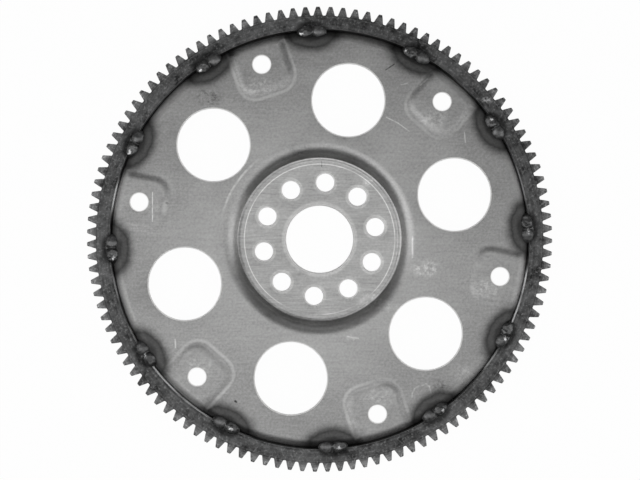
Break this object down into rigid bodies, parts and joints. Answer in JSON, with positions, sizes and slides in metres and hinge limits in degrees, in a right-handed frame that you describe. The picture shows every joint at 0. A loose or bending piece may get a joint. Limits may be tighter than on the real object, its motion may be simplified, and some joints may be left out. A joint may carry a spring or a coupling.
{
  "type": "flexplate",
  "caption": "Pressed steel flexplate with dished bolted hub, lightening holes, raised converter pads and a starter ring gear stitch-welded round its turned-down rim.",
  "frame": {"origin": "Axis of the plate, on the plane of the ring gear's rear face that the part lies on.", "axes": "+Z is the axis, from the crankshaft side to the converter side; +X points at one converter pad; +Y completes a right-handed frame."},
  "size_m": [0.2972, 0.2972, 0.0139],
  "materials": {
    "pressed_steel": "bare rolled sheet, satin",
    "ring_steel": "dark heat-treated steel",
    "weld_steel": "dark scaled weld metal"
  },
  "bodies": {
    "root": {"drive_plate": "pressed_steel", "ring_gear": "ring_steel", "weld_bead_01": "weld_steel", "weld_bead_02": "weld_steel", "weld_bead_03": "weld_steel", "weld_bead_04": "weld_steel", "weld_bead_05": "weld_steel", "weld_bead_06": "weld_steel", "weld_bead_07": "weld_steel", "weld_bead_08": "weld_steel", "weld_bead_09": "weld_steel", "weld_bead_10": "weld_steel", "weld_bead_11": "weld_steel", "weld_bead_12": "weld_steel"}
  },
  "joints": []
}
